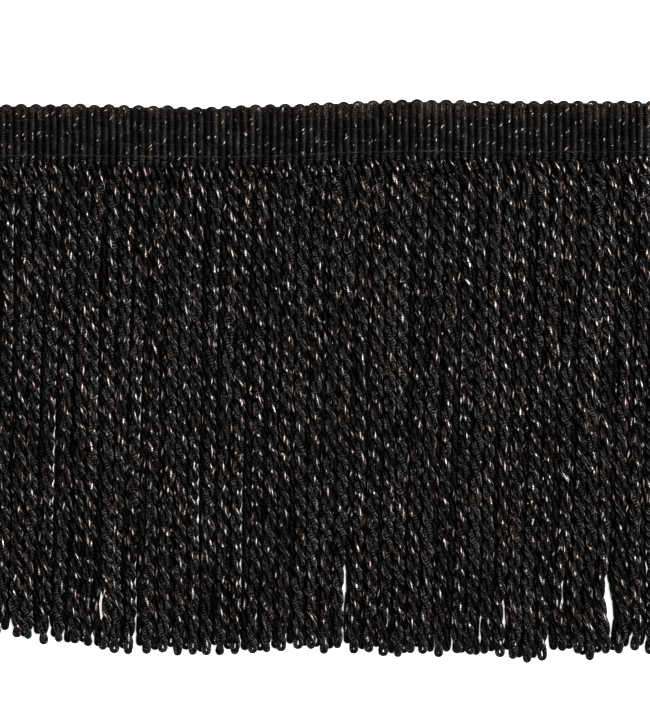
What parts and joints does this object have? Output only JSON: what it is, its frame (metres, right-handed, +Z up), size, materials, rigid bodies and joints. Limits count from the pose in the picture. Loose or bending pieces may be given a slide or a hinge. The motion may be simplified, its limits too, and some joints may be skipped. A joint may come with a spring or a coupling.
{
  "type": "bullion fringe",
  "caption": "Cut length of bullion fringe lying flat: a ribbed woven heading with a scalloped top edge and two rows of twisted cords ending in closed loops.",
  "frame": {"origin": "middle of the fringe's outline on the surface that it lies on", "axes": "+X along the heading, +Y from the cord ends to the scalloped edge, +Z up, out of the front face"},
  "size_m": [0.1928, 0.153, 0.0055],
  "materials": {
    "heading_yarn": "satin black yarn, woven, with copper metallic thread",
    "cord_yarn": "satin black yarn, twisted in two plies, with copper metallic thread"
  },
  "bodies": {
    "root": {"heading": "heading_yarn", "front_cords": "cord_yarn", "back_cords": "cord_yarn"}
  },
  "joints": []
}
